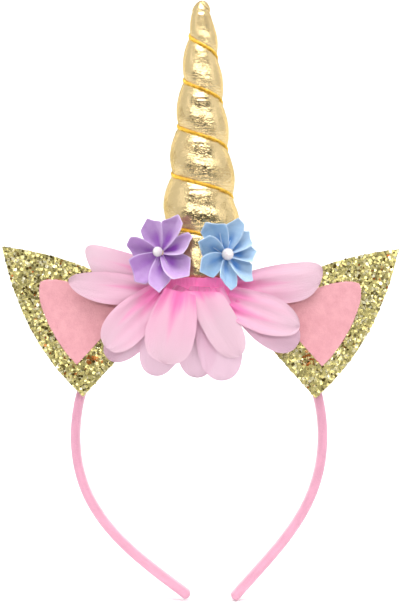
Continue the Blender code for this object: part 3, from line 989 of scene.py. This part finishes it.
class HEADBAND_OT_cord(bpy.types.Operator):
    """Wind the twisted cord down the horn."""
    bl_idname = "headband.make_cord"
    bl_label = "Twisted cord"

    def execute(self, context):
        settings = context.scene.headband_horn
        route = []
        turn = CORD_START
        while spiral_height(turn) < HORN_LENGTH - CORD_TIP_MARGIN:
            rise = spiral_height(turn)
            radius = horn_radius(rise, 0.0) + plump(rise, 0.0) + settings.cord_lift
            route.append(round_point(-2 * pi * turn, radius, horn_foot() + rise))
            turn += 1 / 96
        places = even_route(route, CORD_STEP)
        rows = len(places) - 1
        last = places[-1][1]
        whole = bmesh.new()
        whole.loops.layers.uv.new("cloth")
        for strand in range(STRANDS):
            def surface(across, along, strand=strand):
                number = round(along * rows)
                here, gone = places[number]
                before, after = places[max(number - 1, 0)][0], places[min(number + 1, rows)][0]
                course = (after - before).normalized()
                out = Vector((here.x, here.y, 0.0)).normalized()
                up = course.cross(out).normalized()
                out = up.cross(course)
                twist = 2 * pi * (gone / settings.strand_twist + strand / STRANDS)
                middle = here + (out * cos(twist) + up * sin(twist)) * (CORD_RADIUS * STRAND_OFFSET)
                turn = 2 * pi * across
                into_end = max(0.0, 1.0 - min(gone, last - gone) / CORD_RADIUS)
                close = sqrt(max(0.05, 1.0 - into_end ** 2))
                return middle + (out * cos(turn) + up * sin(turn)) * (CORD_RADIUS * STRAND_RADIUS * close)
            shape = cloth_grid(CORD_COLUMNS, rows, surface)
            stretch_map(shape, last)
            weld(shape, 0.000002)
            close_ends(shape)
            part = bpy.data.meshes.new("strand")
            shape.to_mesh(part)
            shape.free()
            whole.from_mesh(part)
            bpy.data.meshes.remove(part)
        fit(finish_mesh("twisted_cord", whole, gold_cord_finish(settings)), "gold_cord", "horn_cord")
        return {"FINISHED"}


class HEADBAND_OT_ears(bpy.types.Operator):
    """Coat the ears with glitter and glue on their felt linings."""
    bl_idname = "headband.make_ears"
    bl_label = "Glitter ears"

    def execute(self, context):
        settings = context.scene.headband_ears
        board = glitter_board_finish(settings)
        flakes = flake_finish(settings)
        felt = felt_finish(settings)
        for side, word in ((-1, "left"), (1, "right")):
            self.coat(side, word, settings, board, flakes)
            self.line(side, word, felt)
        return {"FINISHED"}

    def coat(self, side, word, settings, board, flakes):
        """Scatter flakes over the front of one ear."""
        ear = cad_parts["ear_" + word]
        ear.data.materials.clear()
        ear.data.materials.append(board)
        chance = random.Random(31 + side)
        ear_half = leaf_half(EAR_LENGTH, EAR_BASE, EAR_HANDLES)
        felt_half = leaf_half(FELT_LENGTH, FELT_BASE, FELT_HANDLES)
        lie = ear_matrix(side, EAR_INSET, ear_depth())
        shape = bmesh.new()
        layer = shape.verts.layers.float.new("tone")
        for _ in range(settings.flake_count):
            along = chance.uniform(0.0003, EAR_LENGTH)
            across = chance.uniform(-EAR_BASE / 2, EAR_BASE / 2)
            if abs(across) > ear_half(along) - 0.0004:
                continue
            inner = along - FELT_MARGIN
            if 0.0008 < inner < FELT_LENGTH - 0.0012 and abs(across) < felt_half(inner) - 0.0010:
                continue
            lift = EAR_THICK / 2 + chance.uniform(0.00004, 0.00034)
            tilt = Matrix.Rotation(chance.triangular(0.0, settings.flake_tilt, 0.004), 4, "X")
            turn = Matrix.Rotation(chance.uniform(0.0, 2 * pi), 4, "Z")
            spin = Matrix.Rotation(chance.uniform(0.0, pi / 3), 4, "Z")
            spot = lie @ Matrix.Translation((along, across, lift)) @ turn @ tilt @ spin
            made = bmesh.ops.create_circle(
                shape, cap_ends=True, segments=6, radius=settings.flake_radius * chance.uniform(0.72, 1.25),
                matrix=spot)
            # painted light: the flakes on the right ear lean brighter than those on the left
            tone = chance.random() ** (0.85 - 0.12 * side)
            # painted reflection of the pink felt: flakes close to the felt's lower edge take the orange
            # tone, each with an even chance
            warm = Vector((inner + 0.0034, side * across + 0.0103)).length
            if warm < 0.0030 and chance.random() < 0.5:
                tone = 0.13
            for corner in made["verts"]:
                corner[layer] = tone
        piece = finish_mesh("ear_glitter_" + word, shape, flakes)
        piece.data.shade_flat()
        fit(piece, "gold_glitter")

    def line(self, side, word, felt):
        """Lay the felt leaf on one ear."""
        half = leaf_half(FELT_LENGTH, FELT_BASE, FELT_HANDLES)
        lie = ear_matrix(side, EAR_INSET - FELT_MARGIN, felt_depth())

        def surface(across, along):
            run = FELT_LENGTH * (1.0 - (1.0 - along) ** 1.5)
            out = (across * 2.0 - 1.0) * max(half(run), 0.00001)
            rough = noise.noise(Vector((run * 900.0, out * 900.0, side * 5.0)))
            edge = max(abs(across * 2.0 - 1.0) ** 8, along ** 10, (1.0 - along) ** 30)
            fray = 1.0 + 0.012 * rough * edge
            rise = 0.00008 * noise.noise(Vector((run * 260.0, out * 260.0, side * 3.0))) - 0.00025 * edge
            return lie @ Vector((run * fray, out * fray, FELT_THICK * 0.28 + rise))
        shape = cloth_grid(*FELT_GRID, surface)
        weld(shape, 0.000004)
        area = sheet_area(shape)
        bmesh.ops.recalc_face_normals(shape, faces=shape.faces[:])
        bmesh.ops.solidify(shape, geom=shape.faces[:], thickness=FELT_THICK * 0.62)
        bmesh.ops.recalc_face_normals(shape, faces=shape.faces[:])
        piece = finish_mesh("felt_lining_" + word, shape, felt)
        piece.data.set_sharp_from_angle(angle=radians(60))
        fit(piece, "pink_felt", "ear_felt_" + word)


class HEADBAND_OT_gathers(bpy.types.Operator):
    """Gather the chiffon strip round the horn's foot."""
    bl_idname = "headband.make_gathers"
    bl_label = "Gathered strip"

    def execute(self, context):
        settings = context.scene.headband_chiffon

        def surface(across, along):
            angle = radians(GATHER_SPREAD) * (across * 2.0 - 1.0)
            tuck = noise.noise(Vector((across * 46.0, along * 1.3, 2.0)))
            fold = noise.noise(Vector((across * 19.0, along * 0.8, 5.0)))
            radius = gather_radius() + 0.0010 * tuck + 0.0006 * fold + 0.0004 * (along - 0.5)
            ends = along + 0.05 * noise.noise(Vector((across * 30.0, 0.0, 9.0)))
            return round_point(angle, radius, horn_foot() + GATHER_HEIGHT * (ends - 0.5))
        shape = cloth_grid(*GATHER_GRID, surface)
        area = sheet_area(shape)
        width = 2 * radians(GATHER_SPREAD) * gather_radius() * GATHER_EASE[0]
        # painted glow: the gathered strip gives off light in its root colour
        finish = chiffon_finish("chiffon_gathered", settings, settings.root, 0.98, depth=7.0, glow=0.36)
        piece = finish_mesh("chiffon_gathers", shape, finish)
        fit(piece, "pink_chiffon", "petal_gathers")
        return {"FINISHED"}


class HEADBAND_OT_petals(bpy.types.Operator):
    """Lay the twelve chiffon petals."""
    bl_idname = "headband.make_petals"
    bl_label = "Chiffon petals"

    def execute(self, context):
        settings = context.scene.headband_chiffon
        front = chiffon_finish("pink_chiffon", settings, settings.tip, settings.cover)
        back = chiffon_finish("back_chiffon", settings, settings.shaded, settings.cover)
        for number, row in enumerate(PETALS):
            # petals of the two back layers that hang downwards take the painted shade copy
            in_painted_shade = row[-1] < 2 and abs(row[3]) < 90
            self.lay(number, row, settings, back if in_painted_shade else front)
        return {"FINISHED"}

    def lay(self, number, row, settings, finish):
        """One petal: gathered at its root, draped over the skirt, rounded at its tip."""
        name, start, rise, heading, long, wide, layer = row
        course = Vector((sin(radians(heading)), -cos(radians(heading))))
        beside = Vector((-course.y, course.x))
        root = Vector((start * gather_radius(), horn_foot() + rise * GATHER_HEIGHT))
        half = PETAL_WIDTH * wide / 2
        seed = number * 3.7
        blunt, sweep, tuck, lead, slant, narrow, deep = PETAL_LOOKS.get(name, PLAIN_PETAL)

        def surface(across, along):
            out = across * 2.0 - 1.0
            run = 1.0 - (1.0 - along) ** 1.9
            swell = narrow + (1.0 - narrow) * sin(pi / 2 * min(run / PETAL_WIDEST, 1.0))
            into = max(0.0, (run - 0.56) / 0.44)
            swell *= (1.0 - into ** blunt) ** (1.0 / 2.2)
            swell *= 1.0 + 0.06 * noise.noise(Vector((run * 1.6, seed, 0.4 * out)))
            aside = out * half * swell * 1.04 + sweep * run * run
            far = PETAL_LENGTH * long * run * (1.0 + lead * aside / half * run ** 2)
            far += slant * aside * (1.0 - run) ** 3
            flat = root + course * far + beside * aside
            gather = (1.0 - run) ** 1.6
            fold = cos(pi * out * (2.2 + 0.8 * sin(seed)) + seed) * gather
            drift = noise.noise(Vector((out * 1.3 + seed, run * 1.6, 0.5)))
            curl = 0.0005 * out ** 2 * run - 0.0007 * max(0.0, 1.0 - along / 0.14) ** 2
            depth = skirt_depth(flat.x, flat.y, layer) + settings.fold_depth * fold
            depth += 0.0009 * drift * run
            depth += curl
            depth -= tuck * max(0.0, 1.0 - run / 0.42)
            return Vector((flat.x, -depth, flat.y))
        shape = cloth_grid(*PETAL_GRID, surface)
        set_tone(shape, deep)
        area = sheet_area(shape)
        piece = finish_mesh("chiffon_" + name, shape, finish)
        fit(piece, "pink_chiffon", name)


class HEADBAND_OT_flowers(bpy.types.Operator):
    """Fold the ribbon flowers and set their pearls."""
    bl_idname = "headband.make_flowers"
    bl_label = "Ribbon flowers"

    def execute(self, context):
        settings = context.scene.headband_ribbon
        pearl = pearl_finish()
        for plan in FLOWERS:
            word = plan["name"]
            deep = getattr(settings, word + "_deep")
            finish = ribbon_finish(word + "_ribbon", getattr(settings, word), deep)
            lie = self.axes(plan)
            for number, (angle, long) in enumerate(plan["petals"], 1):
                self.fold(plan, number, lie, radians(angle), long, settings, finish)
            self.set_pearl(plan, lie, pearl)
        return {"FINISHED"}

    def axes(self, plan):
        """Where a flower lies on the horn."""
        facing = radians(plan["facing"])
        pitch = radians(FLOWER_PITCH)
        normal = Vector((sin(facing) * cos(pitch), -cos(facing) * cos(pitch), sin(pitch)))
        right = Vector((cos(facing), sin(facing), 0.0))
        seat = horn_radius(plan["height"] - horn_foot(), 0.5) + GAP + RIBBON_WALL / 2 + FLOWER_SEAT_CLEAR
        place = round_point(facing, seat, plan["height"]) + right * plan["shift"]
        return front_matrix(right, normal.cross(right), place)

    def fold(self, plan, number, lie, angle, long, settings, finish):
        """One petal of ribbon: pinched at its root, cupped, with a pointed tip."""
        lie = lie @ Matrix.Rotation(-angle, 4, "Z")
        solid_inner = plan["pearl"] + GAP
        reach = plan["length"] * long - RIBBON_INNER
        roll = sin(radians(RIBBON_ROLL))
        seed = number * 2.3 + plan["pearl"] * 900.0
        lean = 0.45 * sin(seed * 2.1)
        aslant = 0.38 * sin(seed * 1.7)
        curl = 0.0005 + 0.0022 * max(0.0, sin(seed * 3.1))
        wide = plan["width"] / 2 * (0.94 + 0.11 * sin(seed * 4.3))
        sway = 0.0011 * sin(seed * 5.3)

        def surface(across, along):
            out = across * 2.0 - 1.0
            run = along * (1.0 - 0.34 * along * abs(out - aslant) / (1.0 + abs(aslant)))
            open_share = sin(pi / 2 * min(run / RIBBON_WIDEST, 1.0))
            swell = settings.root_share + (1.0 - settings.root_share) * open_share
            swell *= 1.0 - 0.26 * max(0.0, (run - RIBBON_WIDEST) / (1.0 - RIBBON_WIDEST)) ** 2
            aside = wide * swell * out + sway * run * run
            climb = max(RIBBON_INNER + reach * run - solid_inner, 0.0) / (plan["length"] - solid_inner)
            climb = climb ** RIBBON_CLIMB
            sides = settings.cup * abs(out) ** 2.2 * sin(pi * min(run * 0.90 + 0.04, 1.0)) ** 0.8
            sides *= 1.0 + lean * out
            roof = -0.0010 * max(0.0, abs(out) - 0.84) / 0.16 * run
            hollow = -0.0008 * exp(-((run - 0.36) / 0.22) ** 2) * (1.0 - out ** 2)
            lip = curl * smooth(along, 0.80, 1.0) * (1.0 - abs(out))
            bent = 0.0009 * noise.noise(Vector((out * 1.7, run * 2.6, seed))) * run
            rise = RIBBON_LIFT * climb + roll * aside + sides + roof + hollow + lip + bent
            return lie @ Vector((aside, RIBBON_INNER + reach * run, rise))
        shape = cloth_grid(*RIBBON_GRID, surface)
        # painted light: each petal is lighter or darker by which way it faces round the flower, with a
        # little chance
        shade = 0.5 + 0.30 * sin(angle) + 0.12 * cos(angle)
        set_tone(shape, shade + 0.25 * (random.Random(int(seed * 100)).random() - 0.5))
        area = sheet_area(shape)
        name = f"ribbon_{plan['name']}_{number}"
        piece = finish_mesh("folded_" + name, shape, finish)
        wall = piece.modifiers.new("wall", "SOLIDIFY")
        wall.thickness = settings.wall
        wall.offset = 0.0
        soft = piece.modifiers.new("soft_edges", "SUBSURF")
        soft.levels = 1
        soft.render_levels = 1
        fit(piece, plan["name"] + "_ribbon", name)

    def set_pearl(self, plan, lie, finish):
        """The pearl, with the small rim of its hole."""
        shape = bmesh.new()
        spot = lie @ Matrix.Translation((plan["bead"], 0.0, PEARL_HEIGHT))
        bmesh.ops.create_uvsphere(shape, u_segments=40, v_segments=28, radius=plan["pearl"], matrix=spot)
        top = spot @ Vector((0.0, 0.0, plan["pearl"]))
        for corner in shape.verts:
            near = (corner.co - top).length / (plan["pearl"] * 0.30)
            dip = plan["pearl"] * 0.10 * exp(-near ** 2)
            corner.co += (spot.translation - corner.co).normalized() * dip
        fit(finish_mesh("bead_pearl_" + plan["name"], shape, finish), "pearl", "pearl_" + plan["name"])


class HEADBAND_OT_studio(bpy.types.Operator):
    """Set up the pale floor, the soft lights and the camera."""
    bl_idname = "headband.make_studio"
    bl_label = "Studio"

    def execute(self, context):
        settings = context.scene.headband_studio
        self.sweep(settings)
        self.surroundings(context.scene, settings)
        aim = Vector((0.0, 0.0, 0.01))
        for name, place, width, height, power in SOFTBOXES:
            lamp = bpy.data.lights.new(name, "AREA")
            lamp.shape = "RECTANGLE"
            lamp.size, lamp.size_y = width, height
            lamp.energy = power * settings.power
            made = bpy.data.objects.new(name, lamp)
            made.location = place
            made.rotation_euler = (aim - Vector(place)).to_track_quat("-Z", "Y").to_euler()
            context.scene.collection.objects.link(made)
        self.camera(context.scene)
        return {"FINISHED"}

    def sweep(self, settings):
        """The floor, which curves up into a backdrop."""
        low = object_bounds()[0].z - 0.0002

        def surface(across, along):
            run = along * FLOOR_RUN
            turn = min(max((run - FLOOR_FLAT) / FLOOR_BEND, 0.0), pi / 2)
            climb = max(run - FLOOR_FLAT - FLOOR_BEND * pi / 2, 0.0)
            reach = min(run, FLOOR_FLAT) - FLOOR_FRONT + FLOOR_BEND * sin(turn)
            return Vector(((across - 0.5) * 5.0, reach, low + FLOOR_BEND * (1.0 - cos(turn)) + climb))
        finish_mesh("studio_floor", cloth_grid(8, 46, surface), floor_finish(settings))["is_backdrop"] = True

    def surroundings(self, scene, settings):
        """Pale surroundings, grey in front, with bright boxes and a dark lens for the horn to mirror."""
        world = bpy.data.worlds.new("studio_surroundings")
        world.use_nodes = True
        scene.world = world
        paint = Nodes(world.node_tree)
        beside, ahead, up = paint.split(paint.node("ShaderNodeTexCoord", output="Generated"))
        level = (beside * beside + ahead * ahead) ** 0.5
        toward = ahead / level
        front = toward.ramp(-0.48, -0.66)
        near = toward.ramp(-0.66, -0.76)
        low_box = up.ramp(0.21, 0.25) * up.ramp(0.37, 0.34)
        boxes = near * (low_box + up.ramp(0.74, 0.79)) * BOX_LIGHT
        strips = beside.ramp(0.62, 0.74) * beside.ramp(0.94, 0.84) * STRIP_LIGHT
        lens = up.ramp(0.12, 0.07) * up.ramp(-0.32, -0.27)
        lens *= (beside - 0.05).absolute().ramp(0.17, 0.12) * LENS_SHADE
        glow = (front * (FRONT_LIGHT + boxes - lens) + (1.0 - front) + strips) * settings.glow
        paint.feed(paint.tree.nodes["Background"].inputs["Color"], (1.0, 1.0, 1.0, 1.0))
        paint.feed(paint.tree.nodes["Background"].inputs["Strength"], glow)

    def camera(self, scene):
        """The photograph's viewpoint, level with the crown and straight in front."""
        lens = bpy.data.cameras.new("studio_camera")
        lens.sensor_fit = "VERTICAL"
        lens.sensor_height = VIEW_SENSOR
        lens.lens = VIEW_SENSOR * VIEW_DISTANCE / VIEW_SPAN
        lens.clip_end = 20.0
        made = bpy.data.objects.new("studio_camera", lens)
        turn = Matrix.Rotation(radians(VIEW_ROLL), 4, "Y") @ Matrix.Rotation(pi / 2, 4, "X")
        made.matrix_world = Matrix.Translation((0.0, -VIEW_DISTANCE, VIEW_HEIGHT)) @ turn
        scene.collection.objects.link(made)
        scene.camera = made
        scene.view_settings.view_transform = "Standard"


OPERATORS = (
    HEADBAND_OT_band, HEADBAND_OT_horn, HEADBAND_OT_cord, HEADBAND_OT_ears, HEADBAND_OT_gathers,
    HEADBAND_OT_petals, HEADBAND_OT_flowers, HEADBAND_OT_studio,
)
SETTINGS = {
    "headband_horn": HornSettings, "headband_ears": EarSettings, "headband_chiffon": ChiffonSettings,
    "headband_ribbon": RibbonSettings, "headband_band": BandSettings, "headband_studio": StudioSettings,
}


class HEADBAND_PT_pieces(bpy.types.Panel):
    """The headband's settings and the buttons that make its pieces."""
    bl_label = "Headband"
    bl_idname = "HEADBAND_PT_pieces"
    bl_space_type = "VIEW_3D"
    bl_region_type = "UI"
    bl_category = "Headband"

    def draw(self, context):
        for name, group in SETTINGS.items():
            box = self.layout.box()
            box.label(text=group.__doc__)
            for key in group.__annotations__:
                box.prop(getattr(context.scene, name), key)
        for operator in OPERATORS:
            self.layout.operator(operator.bl_idname)


def register():
    """Register the settings, the operators and the panel."""
    for name, group in SETTINGS.items():
        bpy.utils.register_class(group)
        setattr(bpy.types.Scene, name, PointerProperty(type=group))
    for made in (*OPERATORS, HEADBAND_PT_pieces):
        bpy.utils.register_class(made)


def unregister():
    """Take back what register did."""
    for made in (HEADBAND_PT_pieces, *reversed(OPERATORS)):
        bpy.utils.unregister_class(made)
    for name, group in SETTINGS.items():
        delattr(bpy.types.Scene, name)
        bpy.utils.unregister_class(group)


def main():
    """Make every piece and the studio."""
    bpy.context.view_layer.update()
    register()
    for operator in OPERATORS:
        family, word = operator.bl_idname.split(".")
        getattr(getattr(bpy.ops, family), word)()
    bpy.context.view_layer.update()


if __name__ == "__main__":
    main()
